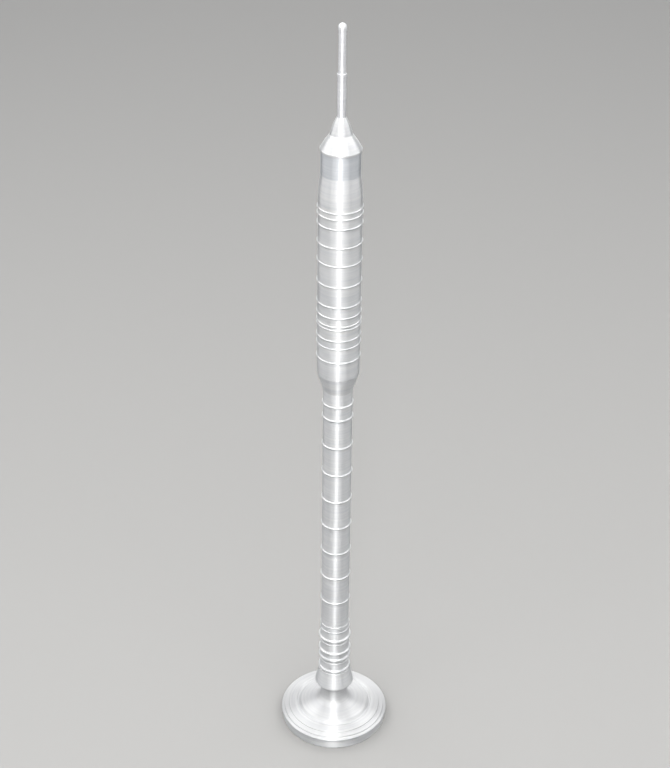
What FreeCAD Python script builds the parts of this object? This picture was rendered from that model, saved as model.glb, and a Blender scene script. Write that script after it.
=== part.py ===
"""A stepped ring mandrel, turned in aluminium in sections that screw together and stand on a round foot.

Every piece is turned about +Z. Each one is drawn from its own seat, as a half section that is revolved, and its
Placement stacks it on the pieces below. All driving sizes are in the spreadsheet "sizes", in millimetres.
The origin is the centre of the foot's underside.
"""
import FreeCAD, Part
import math
import os

import Sketcher

# alias, value in mm (or a plain count), what it is
SIZES = [
    # foot: a stepped disc that sweeps up into a neck
    ("foot_height", 20.8, "foot, underside to the seat of the ferrule"),
    ("foot_base_diameter", 46.5, "foot, at the surface that it stands on"),
    ("foot_rim_diameter", 47.8, "foot, over the lip"),
    ("lip_top", 5.3, "height of the lip's top edge"),
    ("lip_height", 1.1, "height of the lip itself"),
    ("lip_width", 1.3, "lip, edge to first riser"),
    ("tier_width", 2.1, "first tier, riser to riser"),
    ("riser_height", 0.35, "each riser between two tiers"),
    ("disc_slope", 0.28, "rise of the disc's top per mm towards the middle"),
    ("cove_diameter", 32.4, "middle of the shallow cove in the disc's top"),
    ("cove_width", 2.8, "cove, edge to edge"),
    ("cove_radius", 1.7, "radius of the cove's section"),
    ("foot_neck_diameter", 12.0, "neck of the foot, under the ferrule"),
    ("sweep_diameter", 18.6, "disc's top, where it turns up into the neck"),
    ("sweep_rise", 4.34, "height of the concave sweep from disc to neck"),
    ("sweep_radius", 4.5, "radius of that sweep"),
    ("recess_diameter", 37.0, "hollow in the underside"),
    ("recess_depth", 1.2, "depth of that hollow"),
    ("pad_thickness", 1.2, "rubber pad in the hollow"),
    ("socket_depth", 6.6, "socket in the neck for the column's spigot"),
    # ferrule
    ("ferrule_length", 8.2, "ferrule, seat to seat"),
    ("ferrule_skirt_diameter", 17.0, "ferrule, over its skirt"),
    ("ferrule_skirt_height", 0.9, "ferrule, height of the skirt's edge"),
    ("ferrule_top_diameter", 14.2, "ferrule, at the collar"),
    ("ferrule_top_land", 1.2, "ferrule, straight part under the collar"),
    # foot screw and washer
    ("screw_diameter", 5.0, "foot screw, nominal thread"),
    ("screw_length", 30.0, "foot screw, under the head"),
    ("head_diameter", 8.5, "foot screw's head"),
    ("head_height", 5.0, "foot screw's head"),
    ("hex_flats", 4.0, "foot screw's hexagon socket, across flats"),
    ("hex_depth", 2.5, "foot screw's hexagon socket, depth"),
    ("washer_diameter", 10.0, "washer, outside"),
    ("washer_thickness", 1.0, "washer"),
    ("lock_washer_diameter", 8.6, "split lock washer, outside"),
    ("lock_washer_thickness", 1.2, "split lock washer"),
    ("counterbore_depth", 7.4, "counterbore for head and washers, above the hollow"),
    # beaded collar
    ("collar_length", 28.4, "collar, seat to seat"),
    ("collar_diameter", 12.7, "collar, between its beads"),
    ("collar_taper", 6.6, "length of the taper at the collar's top"),
    ("collar_bead", 0.62, "radius of the collar's round beads"),
    ("collar_line", 0.24, "radius of the collar's fine beads"),
    ("spigot_diameter", 8.0, "column's spigot, through collar, ferrule and foot"),
    # lower barrel
    ("lower_diameter", 12.06, "lower barrel"),
    ("lower_bottom_land", 11.7, "lower barrel, seat to first bead"),
    ("lower_pitch", 13.62, "lower barrel, bead to bead"),
    ("lower_short_pitch", 6.5, "lower barrel, last gap at the top"),
    ("lower_top_land", 5.7, "lower barrel, top bead to the joint"),
    ("lower_bead", 0.42, "radius of the lower barrel's beads"),
    ("register_diameter", 8.4, "register on top of the lower barrel"),
    ("register_height", 2.0, "height of each register"),
    ("stud_diameter", 6.0, "joint stud, nominal thread"),
    ("stud_grip", 13.0, "joint stud, length in each barrel"),
    # reducer
    ("cone_length", 7.2, "reducer, cone above the lower barrel"),
    ("cone_top_diameter", 16.2, "reducer, where the cone meets the rounding"),
    ("rounding_length", 2.1, "reducer, rounding under the upper barrel"),
    ("reducer_register", 12.0, "register on top of the reducer"),
    # upper barrel
    ("upper_diameter", 17.15, "upper barrel"),
    ("upper_bottom_land", 7.5, "upper barrel, seat to first bead"),
    ("upper_top_land", 3.8, "upper barrel, last bead to the shoulder"),
    ("upper_bead", 0.34, "radius of the upper barrel's beads"),
    # shoulder
    ("shoulder_length", 9.4, "flare of the shoulder"),
    ("shoulder_arc", 92.0, "radius of the flare's section"),
    ("neck_diameter", 15.25, "neck of the shoulder"),
    ("neck_length", 9.3, "neck of the shoulder"),
    ("shoulder_spigot", 10.0, "shoulder's threaded spigot, diameter"),
    ("shoulder_spigot_length", 10.0, "shoulder's threaded spigot, length"),
    ("neck_bore_depth", 12.6, "tapped bore in the neck"),
    # nose cap
    ("cap_thread_diameter", 10.0, "nose cap's thread, nominal"),
    ("cap_thread_length", 9.0, "nose cap's thread, length"),
    ("thread_pitch", 1.0, "nose cap's thread, pitch"),
    ("thread_depth", 0.45, "nose cap's thread, depth"),
    ("rim_diameter", 15.9, "nose cap, over its rim"),
    ("rim_height", 0.9, "nose cap, height of its rim"),
    ("cone_height", 5.6, "nose cap, height of the wide cone"),
    ("cone_radius", 28.0, "nose cap, radius of the wide cone's section"),
    ("ogive_diameter", 8.5, "nose cap, where cone and ogive meet"),
    ("ogive_height", 6.8, "nose cap, height of the ogive"),
    ("ogive_radius", 23.0, "nose cap, radius of the ogive's section"),
    ("ring_thickness", 1.0, "retaining ring in the cap's spigot"),
    ("flange_diameter", 6.4, "flange at the foot of the pin sleeve"),
    ("flange_thickness", 1.2, "flange at the foot of the pin sleeve"),
    # pin
    ("sleeve_diameter", 3.44, "pin sleeve, outside"),
    ("sleeve_wall", 0.17, "pin sleeve, wall"),
    ("sleeve_exposed", 16.6, "pin sleeve, length that shows"),
    ("sleeve_lip", 0.06, "rolled lip at the sleeve's mouth, proud of the sleeve"),
    ("sleeve_lip_height", 1.3, "rolled lip at the sleeve's mouth"),
    ("rod_diameter", 2.88, "pin rod"),
    ("rod_exposed", 14.4, "pin rod, length that shows"),
    ("friction_length", 5.0, "split friction sleeve on the rod"),
    ("friction_wall", 0.2, "split friction sleeve, wall"),
    ("rod_end_length", 1.0, "collar at the rod's hidden end"),
    ("tip_diameter", 3.26, "pin tip, at its widest"),
    ("tip_neck_diameter", 3.0, "pin tip, where it meets the rod"),
    ("tip_length", 4.5, "pin tip"),
    ("tip_tenon_diameter", 1.5, "tenon on the rod that the tip is pressed on"),
    ("tip_tenon_length", 2.2, "tenon on the rod that the tip is pressed on"),
    # fits
    ("running_clearance", 0.03, "radial, between pieces that turn or slide"),
    ("seat_clearance", 0.02, "radial, between pieces that are screwed or pressed"),
    ("hole_clearance", 0.25, "radial, round a screw's plain hole"),
    ("stop_gap", 0.05, "axial, between pieces that turn on each other"),
]

# Gaps between neighbouring beads of the upper barrel, from the top bead down.
UPPER_GAPS = [2.5, 4.1, 7.9, 7.8, 9.1, 8.9, 4.8, 3.7, 1.5, 5.0, 3.6, 6.4]
LOWER_PITCHES = 7

doc = FreeCAD.newDocument("ring_mandrel")


class Size:
    """A length that knows its value and the spreadsheet expression that it comes from."""

    def __init__(self, value, text):
        self.value = value
        self.text = text

    def _join(self, other, sign, value):
        text = other.text if isinstance(other, Size) else repr(other)
        return Size(value, f"({self.text} {sign} {text})")

    def __add__(self, other):
        return self._join(other, "+", self.value + number(other))

    def __sub__(self, other):
        return self._join(other, "-", self.value - number(other))

    def __mul__(self, other):
        return self._join(other, "*", self.value * number(other))

    def __truediv__(self, other):
        return self._join(other, "/", self.value / number(other))


def number(size):
    return size.value if isinstance(size, Size) else size


def make_sheet():
    """Writes every driving size into the spreadsheet and returns them by name."""
    sheet = doc.addObject("Spreadsheet::Sheet", "sizes")
    named = {}
    rows = SIZES + [(f"upper_gap_{n}", gap, "upper barrel, gap between two beads") for n, gap in enumerate(UPPER_GAPS, 1)]
    for row, (alias, value, meaning) in enumerate(rows, 1):
        sheet.set(f"A{row}", meaning)
        sheet.set(f"B{row}", str(value))
        sheet.setAlias(f"B{row}", alias)
        named[alias] = Size(value, f"sizes.{alias}")
    doc.recompute()
    return named


size = make_sheet()
NOTHING = Size(0.0, "0")


def total(sizes):
    """The sum of several sizes."""
    result = NOTHING
    for one in sizes:
        result = result + one
    return result


def bind(thing, **properties):
    """Binds properties of an object to sizes."""
    for name, value in properties.items():
        thing.setExpression(name, value.text)


def raise_to(thing, height):
    """Stands a piece at a height along the axis."""
    thing.setExpression("Placement.Base.z", height.text)


def half_section(body, corners, name="section"):
    """Sketches a closed half section on the body's XZ plane.

    A corner is (radius, height), or (radius, height, arc radius, side) where the stretch that leads to it is an arc:
    side is 1 where the arc bulges to the left of its direction of travel and -1 where it bulges to the right.
    """
    sketch = body.newObject("Sketcher::SketchObject", f"{body.Name}_{name}")
    plane = [f for f in body.Origin.OriginFeatures if f.Role == "XZ_Plane"][0]
    sketch.AttachmentSupport = (plane, [""])
    sketch.MapMode = "FlatFace"
    places = [FreeCAD.Vector(corner[0].value, corner[1].value, 0) for corner in corners]
    ends = []
    for n, corner in enumerate(corners):
        start, end = places[n - 1], places[n]
        if len(corner) == 4:
            middle = arc_middle(start, end, corner[2].value, corner[3])
            edge = sketch.addGeometry(Part.Arc(start, middle, end), False)
            flipped = sketch.getPoint(edge, 1).distanceToPoint(start) > sketch.getPoint(edge, 1).distanceToPoint(end)
        else:
            edge = sketch.addGeometry(Part.LineSegment(start, end), False)
            flipped = False
        ends.append((edge, 2 if flipped else 1, 1 if flipped else 2))
    for n, corner in enumerate(corners):
        edge, first, last = ends[n]
        following = ends[(n + 1) % len(corners)]
        sketch.addConstraint(Sketcher.Constraint("Coincident", edge, last, following[0], following[1]))
        if corner[0] is NOTHING:
            sketch.addConstraint(Sketcher.Constraint("PointOnObject", edge, last, -2))
        else:
            fix(sketch, "DistanceX", (-1, 1, edge, last), corner[0])
        if corner[1] is NOTHING:
            sketch.addConstraint(Sketcher.Constraint("PointOnObject", edge, last, -1))
        else:
            fix(sketch, "DistanceY", (-1, 1, edge, last), corner[1])
        if len(corner) == 4:
            fix(sketch, "Radius", (edge,), corner[2])
    return sketch


def arc_middle(start, end, radius, side):
    """The middle of an arc of this radius from start to end, bulging to one side of the chord."""
    chord = end - start
    half = chord.Length / 2
    rise = radius - math.sqrt(radius * radius - half * half)
    left = FreeCAD.Vector(-chord.y, chord.x, 0).normalize()
    return (start + end) * 0.5 + left * (rise * side)


def fix(sketch, kind, where, length):
    """Adds a driving dimension to a sketch and binds it to a size."""
    index = sketch.addConstraint(Sketcher.Constraint(kind, *where, length.value))
    sketch.setExpression(f"Constraints[{index}]", length.text)


def turned(label, corners):
    """A body turned from one half section."""
    body = doc.addObject("PartDesign::Body", label)
    sketch = half_section(body, corners)
    turning = body.newObject("PartDesign::Revolution", f"{label}_turning")
    turning.Profile = sketch
    turning.ReferenceAxis = (sketch, ["V_Axis"])
    turning.Angle = 360
    sketch.Visibility = False
    doc.recompute()
    return body


def bead(label, centre_radius, round_radius, height):
    """A ring of round section that stands half proud of a turned surface."""
    ring = doc.addObject("Part::Torus", label)
    bind(ring, Radius1=centre_radius, Radius2=round_radius)
    raise_to(ring, height)
    return ring


def joined(label, pieces):
    """One solid made of a turned body and its beads."""
    whole = doc.addObject("Part::MultiFuse", label)
    whole.Shapes = pieces
    whole.Refine = True
    return whole


# Heights of the seats, each the sum of what is below it.
ferrule_seat = size["foot_height"]
collar_seat = ferrule_seat + size["ferrule_length"]
lower_seat = collar_seat + size["collar_length"]
lower_length = (
    size["lower_bottom_land"] + size["lower_pitch"] * LOWER_PITCHES + size["lower_short_pitch"] + size["lower_top_land"]
)
reducer_seat = lower_seat + lower_length
reducer_height = size["cone_length"] + size["rounding_length"]
upper_seat = reducer_seat + reducer_height
upper_gaps = [size[f"upper_gap_{n}"] for n in range(1, len(UPPER_GAPS) + 1)]
upper_length = size["upper_bottom_land"] + total(upper_gaps) + size["upper_top_land"]
shoulder_seat = upper_seat + upper_length
cap_seat = shoulder_seat + size["shoulder_length"] + size["neck_length"]
cap_height = size["rim_height"] + size["cone_height"] + size["ogive_height"]
sleeve_mouth = cap_seat + cap_height + size["sleeve_exposed"]
tip_seat = sleeve_mouth + size["rod_exposed"]
washers = size["washer_thickness"] + size["lock_washer_thickness"]
under_head = size["recess_depth"] + size["counterbore_depth"] - washers


def make_foot():
    """Stepped disc with a lip and a cove, swept up to a neck, bored for the spigot and counterbored for its screw."""
    rim = size["foot_rim_diameter"] / 2
    slope = size["disc_slope"]
    lip_edge = rim - size["lip_width"]
    tier_edge = lip_edge - size["tier_width"]
    cove_out = (size["cove_diameter"] + size["cove_width"]) / 2
    cove_in = (size["cove_diameter"] - size["cove_width"]) / 2
    lip_inner = size["lip_top"] + slope * size["lip_width"]
    tier_low = lip_inner + size["riser_height"]
    tier_high = tier_low + slope * size["tier_width"]
    disc_low = tier_high + size["riser_height"]
    cove_low = disc_low + slope * (tier_edge - cove_out)
    cove_high = cove_low + slope * size["cove_width"]
    sweep_foot = size["sweep_diameter"] / 2
    sweep_low = cove_high + slope * (cove_in - sweep_foot)
    sweep_high = sweep_low + size["sweep_rise"]
    neck = size["foot_neck_diameter"] / 2
    lip_bottom = size["lip_top"] - size["lip_height"]
    edge = size["lip_height"] / 4
    recess = size["recess_diameter"] / 2
    counterbore = size["washer_diameter"] / 2 + size["hole_clearance"]
    ceiling = size["recess_depth"] + size["counterbore_depth"]
    hole = size["screw_diameter"] / 2 + size["hole_clearance"]
    socket = size["spigot_diameter"] / 2 + size["seat_clearance"]
    floor = size["foot_height"] - size["socket_depth"]
    foot = turned(
        "foot",
        [
            (recess, NOTHING),
            (size["foot_base_diameter"] / 2, NOTHING),
            (rim - size["lip_height"] / 2, lip_bottom),
            (rim, lip_bottom + edge),
            (rim, size["lip_top"] - edge),
            (rim - edge, size["lip_top"]),
            (lip_edge, lip_inner),
            (lip_edge, tier_low),
            (tier_edge, tier_high),
            (tier_edge, disc_low),
            (cove_out, cove_low),
            (cove_in, cove_high, size["cove_radius"], 1),
            (sweep_foot, sweep_low),
            (neck, sweep_high, size["sweep_radius"], 1),
            (neck, size["foot_height"]),
            (socket, size["foot_height"]),
            (socket, floor),
            (hole, floor),
            (hole, ceiling),
            (counterbore, ceiling),
            (counterbore, size["recess_depth"]),
            (recess, size["recess_depth"]),
        ],
    )
    return foot


def make_foot_pad():
    """Rubber disc glued in the hollow, level with the rim that the foot stands on."""
    outside = size["recess_diameter"] / 2 - size["hole_clearance"]
    pad = turned(
        "foot_pad",
        [(NOTHING, NOTHING), (outside, NOTHING), (outside, size["pad_thickness"]), (NOTHING, size["pad_thickness"])],
    )
    return pad


def make_foot_washer():
    """Plain washer between the foot and the screw's head."""
    bore = size["screw_diameter"] / 2 + size["hole_clearance"] / 2
    outside = size["washer_diameter"] / 2
    washer = turned(
        "foot_washer",
        [(bore, NOTHING), (outside, NOTHING), (outside, size["washer_thickness"]), (bore, size["washer_thickness"])],
    )
    raise_to(washer, size["recess_depth"] + size["counterbore_depth"] - size["washer_thickness"])
    return washer


def make_lock_washer():
    """Split washer under the screw's head, pressed flat, with its cut on the +X side."""
    bore = size["screw_diameter"] / 2 + size["hole_clearance"] / 2
    outside = size["lock_washer_diameter"] / 2
    thickness = size["lock_washer_thickness"]
    ring = turned("lock_ring", [(bore, NOTHING), (outside, NOTHING), (outside, thickness), (bore, thickness)])
    washer = split("foot_lock_washer", ring, outside, size["washer_thickness"], thickness)
    raise_to(washer, under_head)
    return washer


def split(label, ring, reach, width, height):
    """A ring cut through on its +X side."""
    slit = doc.addObject("Part::Box", f"{label}_slit")
    bind(slit, Length=reach * 1.5, Width=width, Height=height * 2)
    slit.setExpression("Placement.Base.y", (NOTHING - width / 2).text)
    slit.setExpression("Placement.Base.z", (NOTHING - height / 2).text)
    cut = doc.addObject("Part::Cut", label)
    cut.Base = ring
    cut.Tool = slit
    return cut


def make_foot_screw():
    """Hexagon socket screw that holds the whole column down on the foot."""
    head = size["head_diameter"] / 2
    thread = size["screw_diameter"] / 2
    blank = turned(
        "foot_screw_blank",
        [
            (NOTHING, NOTHING),
            (head, NOTHING),
            (head, size["head_height"]),
            (thread, size["head_height"]),
            (thread, size["head_height"] + size["screw_length"]),
            (NOTHING, size["head_height"] + size["screw_length"]),
        ],
    )
    hexagon = doc.addObject("Part::Prism", "foot_screw_hexagon")
    hexagon.Polygon = 6
    bind(hexagon, Circumradius=size["hex_flats"] / math.sqrt(3), Height=size["hex_depth"])
    screw = doc.addObject("Part::Cut", "foot_screw")
    screw.Base = blank
    screw.Tool = hexagon
    raise_to(screw, under_head - size["head_height"])
    return screw


def make_ferrule():
    """Flared sleeve whose skirt overhangs the neck of the foot."""
    bore = size["spigot_diameter"] / 2 + size["seat_clearance"]
    skirt = size["ferrule_skirt_diameter"] / 2
    top = size["ferrule_top_diameter"] / 2
    length = size["ferrule_length"]
    ferrule = turned(
        "ferrule",
        [
            (bore, NOTHING),
            (skirt - size["ferrule_skirt_height"] / 4, NOTHING),
            (skirt, size["ferrule_skirt_height"] / 4),
            (skirt, size["ferrule_skirt_height"]),
            (top, length - size["ferrule_top_land"]),
            (top, length),
            (bore, length),
        ],
    )
    raise_to(ferrule, ferrule_seat)
    return ferrule


def make_collar():
    """Sleeve with four round beads and four fine ones, clamped between the ferrule and the lower barrel."""
    core = size["collar_diameter"] / 2
    bore = size["spigot_diameter"] / 2 + size["seat_clearance"]
    length = size["collar_length"]
    sleeve = turned(
        "collar_sleeve",
        [
            (bore, NOTHING),
            (core, NOTHING),
            (core, length - size["collar_taper"]),
            (size["lower_diameter"] / 2, length),
            (bore, length),
        ],
    )
    round_beads = [0.045, 0.277, 0.406, 0.665]
    fine_beads = [0.195, 0.58, 0.83, 0.925]
    rings = []
    for n, share in enumerate(round_beads, 1):
        rings.append(bead(f"collar_bead_{n}", core + size["collar_bead"] / 4, size["collar_bead"], length * share))
    for n, share in enumerate(fine_beads, 1):
        rings.append(bead(f"collar_line_{n}", core, size["collar_line"], length * share))
    collar = joined("beaded_collar", [sleeve, *rings])
    raise_to(collar, collar_seat)
    return collar


def make_lower_barrel():
    """Slim barrel with evenly spaced beads, a long spigot below and a register above."""
    outside = size["lower_diameter"] / 2
    spigot = size["spigot_diameter"] / 2
    spigot_length = lower_seat - size["foot_height"] + size["socket_depth"] - size["stop_gap"] * 6
    tapping = size["screw_diameter"] / 2 + size["seat_clearance"]
    tapped_to = under_head + size["screw_length"] - lower_seat + size["thread_pitch"] * 2
    stud = size["stud_diameter"] / 2 + size["seat_clearance"]
    stud_floor = lower_length - size["stud_grip"] - size["thread_pitch"]
    register = size["register_diameter"] / 2
    register_top = lower_length + size["register_height"]
    bar = turned(
        "lower_bar",
        [
            (tapping, NOTHING - spigot_length),
            (spigot, NOTHING - spigot_length),
            (spigot, NOTHING),
            (outside, NOTHING),
            (outside, lower_length),
            (register, lower_length),
            (register, register_top),
            (stud, register_top),
            (stud, stud_floor),
            (NOTHING, stud_floor),
            (NOTHING, tapped_to),
            (tapping, tapped_to),
        ],
    )
    heights = [size["lower_bottom_land"] + size["lower_pitch"] * n for n in range(LOWER_PITCHES + 1)]
    heights.append(heights[-1] + size["lower_short_pitch"])
    rings = [bead(f"lower_bead_{n}", outside, size["lower_bead"], height) for n, height in enumerate(heights, 1)]
    barrel = joined("lower_barrel", [bar, *rings])
    raise_to(barrel, lower_seat)
    return barrel


def make_joint_stud():
    """Double-ended stud that draws the two barrels together, through the reducer."""
    thread = size["stud_diameter"] / 2
    length = size["stud_grip"] * 2 + reducer_height
    stud = turned("joint_stud", [(NOTHING, NOTHING), (thread, NOTHING), (thread, length), (NOTHING, length)])
    raise_to(stud, reducer_seat - size["stud_grip"])
    return stud


def make_reducer():
    """Cone between the barrels, located on the lower one and with a register for the upper one."""
    cone_top = size["cone_top_diameter"] / 2
    outside = size["upper_diameter"] / 2
    bore = size["register_diameter"] / 2 + size["seat_clearance"]
    bore_top = size["register_height"] + size["stop_gap"]
    hole = size["stud_diameter"] / 2 + size["hole_clearance"]
    register = size["reducer_register"] / 2
    register_top = reducer_height + size["register_height"]
    step = outside - cone_top
    rounding = (step * step + size["rounding_length"] * size["rounding_length"]) / (step * 2)
    reducer = turned(
        "reducer",
        [
            (bore, NOTHING),
            (size["lower_diameter"] / 2, NOTHING),
            (cone_top, size["cone_length"]),
            (outside, reducer_height, rounding, -1),
            (register, reducer_height),
            (register, register_top),
            (hole, register_top),
            (hole, bore_top),
            (bore, bore_top),
        ],
    )
    raise_to(reducer, reducer_seat)
    return reducer


def make_upper_barrel():
    """Thick barrel with unevenly spaced beads, seated on the reducer and with a tapped bore for the shoulder."""
    outside = size["upper_diameter"] / 2
    register = size["reducer_register"] / 2 + size["seat_clearance"]
    register_top = size["register_height"] + size["stop_gap"]
    stud = size["stud_diameter"] / 2 + size["seat_clearance"]
    stud_top = size["stud_grip"] + size["thread_pitch"]
    tapping = size["shoulder_spigot"] / 2 + size["seat_clearance"]
    tapped_from = upper_length - size["shoulder_spigot_length"] - size["thread_pitch"]
    bar = turned(
        "upper_bar",
        [
            (register, NOTHING),
            (outside, NOTHING),
            (outside, upper_length),
            (tapping, upper_length),
            (tapping, tapped_from),
            (NOTHING, tapped_from),
            (NOTHING, stud_top),
            (stud, stud_top),
            (stud, register_top),
            (register, register_top),
        ],
    )
    height = upper_length - size["upper_top_land"]
    rings = [bead("upper_bead_1", outside, size["upper_bead"], height)]
    for n, gap in enumerate(upper_gaps, 2):
        height = height - gap
        rings.append(bead(f"upper_bead_{n}", outside, size["upper_bead"], height))
    barrel = joined("upper_barrel", [bar, *rings])
    raise_to(barrel, upper_seat)
    return barrel


def make_shoulder():
    """Flare from the upper barrel to a tapped neck, with a threaded spigot below."""
    outside = size["upper_diameter"] / 2
    neck = size["neck_diameter"] / 2
    spigot = size["shoulder_spigot"] / 2
    top = size["shoulder_length"] + size["neck_length"]
    bore = size["cap_thread_diameter"] / 2 + size["running_clearance"]
    shoulder = turned(
        "shoulder",
        [
            (NOTHING, NOTHING - size["shoulder_spigot_length"]),
            (spigot, NOTHING - size["shoulder_spigot_length"]),
            (spigot, NOTHING),
            (outside, NOTHING),
            (neck, size["shoulder_length"], size["shoulder_arc"], -1),
            (neck, top),
            (bore, top),
            (bore, top - size["neck_bore_depth"]),
            (NOTHING, top - size["neck_bore_depth"]),
        ],
    )
    raise_to(shoulder, shoulder_seat)
    return shoulder


def make_nose_cap():
    """Cap with a rim, a wide cone and an ogive, on a threaded spigot that is counterbored for the pin sleeve."""
    rim = size["rim_diameter"] / 2
    thread = size["cap_thread_diameter"] / 2
    bore = size["sleeve_diameter"] / 2 + size["running_clearance"]
    pocket = size["flange_diameter"] / 2 + size["running_clearance"]
    pocket_depth = size["flange_thickness"] + size["ring_thickness"] + size["stop_gap"] * 4
    cone_top = size["rim_height"] + size["cone_height"]
    edge = size["rim_height"] / 6
    blank = turned(
        "cap_blank",
        [
            (pocket, NOTHING - size["cap_thread_length"]),
            (thread, NOTHING - size["cap_thread_length"]),
            (thread, NOTHING),
            (rim - edge, NOTHING),
            (rim, edge),
            (rim, size["rim_height"] - edge),
            (rim - edge / 2, size["rim_height"]),
            (size["ogive_diameter"] / 2, cone_top, size["cone_radius"], -1),
            (bore, cap_height, size["ogive_radius"], -1),
            (bore, pocket_depth - size["cap_thread_length"]),
            (pocket, pocket_depth - size["cap_thread_length"]),
        ],
    )
    groove_section = half_section(
        blank,
        [
            (thread + size["thread_depth"], NOTHING - size["thread_pitch"] * 2),
            (thread + size["thread_depth"], NOTHING - size["thread_pitch"]),
            (thread - size["thread_depth"], NOTHING - size["thread_pitch"] * 1.5),
        ],
        "thread",
    )
    groove = blank.newObject("PartDesign::Groove", "cap_thread_groove")
    groove.Profile = groove_section
    groove.ReferenceAxis = (groove_section, ["V_Axis"])
    groove.Angle = 360
    doc.recompute()
    pattern = blank.newObject("PartDesign::LinearPattern", "cap_thread")
    pattern.Originals = [groove]
    pattern.Direction = (groove_section, ["V_Axis"])
    pattern.Reversed = True
    pattern.Mode = "Spacing"
    pattern.Occurrences = int((size["cap_thread_length"].value - 2 * size["thread_pitch"].value) / size["thread_pitch"].value)
    bind(pattern, Offset=size["thread_pitch"])
    blank.Tip = pattern
    blank.Label = "nose_cap"
    raise_to(blank, cap_seat)
    return blank


def make_retaining_ring():
    """Ring screwed into the cap's spigot, under the flange of the pin sleeve."""
    inside = size["sleeve_diameter"] / 2 + size["stop_gap"]
    outside = size["flange_diameter"] / 2 + size["running_clearance"]
    ring = turned(
        "retaining_ring",
        [(inside, NOTHING), (outside, NOTHING), (outside, size["ring_thickness"]), (inside, size["ring_thickness"])],
    )
    raise_to(ring, cap_seat - size["cap_thread_length"] + size["stop_gap"] * 2)
    return ring


def make_pin_sleeve():
    """Thin tube with a flange at its foot and a mouth rolled in over the pin rod."""
    outside = size["sleeve_diameter"] / 2
    bore = outside - size["sleeve_wall"]
    mouth = size["rod_diameter"] / 2 + size["running_clearance"]
    foot = size["ring_thickness"] + size["stop_gap"] * 3 - size["cap_thread_length"]
    top = cap_height + size["sleeve_exposed"]
    edge = size["sleeve_lip"]
    lip = outside + edge
    lip_foot = top - size["sleeve_lip_height"]
    flange = size["flange_diameter"] / 2
    sleeve = turned(
        "pin_sleeve",
        [
            (bore, foot),
            (flange, foot),
            (flange, foot + size["flange_thickness"]),
            (outside, foot + size["flange_thickness"]),
            (outside, lip_foot),
            (lip, lip_foot + edge),
            (lip, top - edge * 3),
            (lip - edge * 3, top),
            (mouth, top),
            (mouth, lip_foot),
            (bore, lip_foot),
        ],
    )
    raise_to(sleeve, cap_seat)
    return sleeve


def make_pin_rod():
    """Rod that slides in the sleeve, with a seat for the friction sleeve below and a tenon for the tip above."""
    outside = size["rod_diameter"] / 2
    end = size["sleeve_diameter"] / 2 - size["sleeve_wall"] - size["running_clearance"]
    seat = end - size["friction_wall"] - size["running_clearance"]
    friction_top = NOTHING - size["rod_exposed"] - size["sleeve_lip_height"] - size["stop_gap"]
    friction_foot = friction_top - size["friction_length"] - size["stop_gap"]
    tenon = size["tip_tenon_diameter"] / 2
    rod = turned(
        "pin_rod",
        [
            (NOTHING, friction_foot - size["rod_end_length"]),
            (end, friction_foot - size["rod_end_length"]),
            (end, friction_foot),
            (seat, friction_foot),
            (seat, friction_top),
            (outside, friction_top),
            (outside, NOTHING),
            (tenon, NOTHING),
            (tenon, size["tip_tenon_length"]),
            (NOTHING, size["tip_tenon_length"]),
        ],
    )
    raise_to(rod, tip_seat)
    return rod


def make_friction_sleeve():
    """Split bronze sleeve that grips the inside of the pin sleeve, so that the rod stays where it is put."""
    outside = size["sleeve_diameter"] / 2 - size["sleeve_wall"] - size["running_clearance"] / 2
    inside = outside - size["friction_wall"]
    length = size["friction_length"] - size["stop_gap"]
    tube = turned("friction_tube", [(inside, NOTHING), (outside, NOTHING), (outside, length), (inside, length)])
    sleeve = split("friction_sleeve", tube, outside, size["friction_wall"], length)
    raise_to(sleeve, sleeve_mouth - size["sleeve_lip_height"] - size["friction_length"] - size["stop_gap"])
    return sleeve


def make_pin_tip():
    """Bullet-shaped button pressed on the rod's tenon."""
    neck = size["tip_neck_diameter"] / 2
    widest = size["tip_diameter"] / 2
    bore = size["tip_tenon_diameter"] / 2 + size["seat_clearance"]
    bore_top = size["tip_tenon_length"] + size["stop_gap"]
    shoulder = size["tip_length"] / 3
    dome = widest * 0.96
    dome_radius = (widest * widest + dome * dome) / (dome * 2)
    tip = turned(
        "pin_tip",
        [
            (bore, NOTHING),
            (neck, NOTHING),
            (neck, shoulder),
            (widest, shoulder + (widest - neck)),
            (widest, size["tip_length"] - dome),
            (NOTHING, size["tip_length"], dome_radius, -1),
            (NOTHING, bore_top),
            (bore, bore_top),
        ],
    )
    raise_to(tip, tip_seat)
    return tip


PIECES = [
    make_foot(),
    make_foot_pad(),
    make_foot_washer(),
    make_lock_washer(),
    make_foot_screw(),
    make_ferrule(),
    make_collar(),
    make_lower_barrel(),
    make_joint_stud(),
    make_reducer(),
    make_upper_barrel(),
    make_shoulder(),
    make_nose_cap(),
    make_retaining_ring(),
    make_pin_sleeve(),
    make_pin_rod(),
    make_friction_sleeve(),
    make_pin_tip(),
]


def check_and_write():
    """Recomputes the document, refuses any failed object or bad shape, and writes one STEP file for each piece."""
    doc.recompute()
    for thing in doc.Objects:
        if "Invalid" in thing.State or "Error" in thing.State:
            raise RuntimeError(f"{thing.Label} failed: {thing.State}")
    for piece in PIECES:
        shape = piece.Shape
        if shape.isNull() or not shape.isValid() or len(shape.Solids) != 1:
            raise RuntimeError(f"{piece.Label} isn't one valid solid")
    os.makedirs("parts", exist_ok=True)
    for piece in PIECES:
        piece.Shape.exportStep(f"parts/{piece.Label}.step")
        box = piece.Shape.BoundBox
        print(f"{piece.Label}: {piece.Shape.Volume:.1f} mm3, z {box.ZMin:.2f} to {box.ZMax:.2f}")


check_and_write()
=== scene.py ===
import math

import bpy
from mathutils import Matrix, Vector


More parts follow.
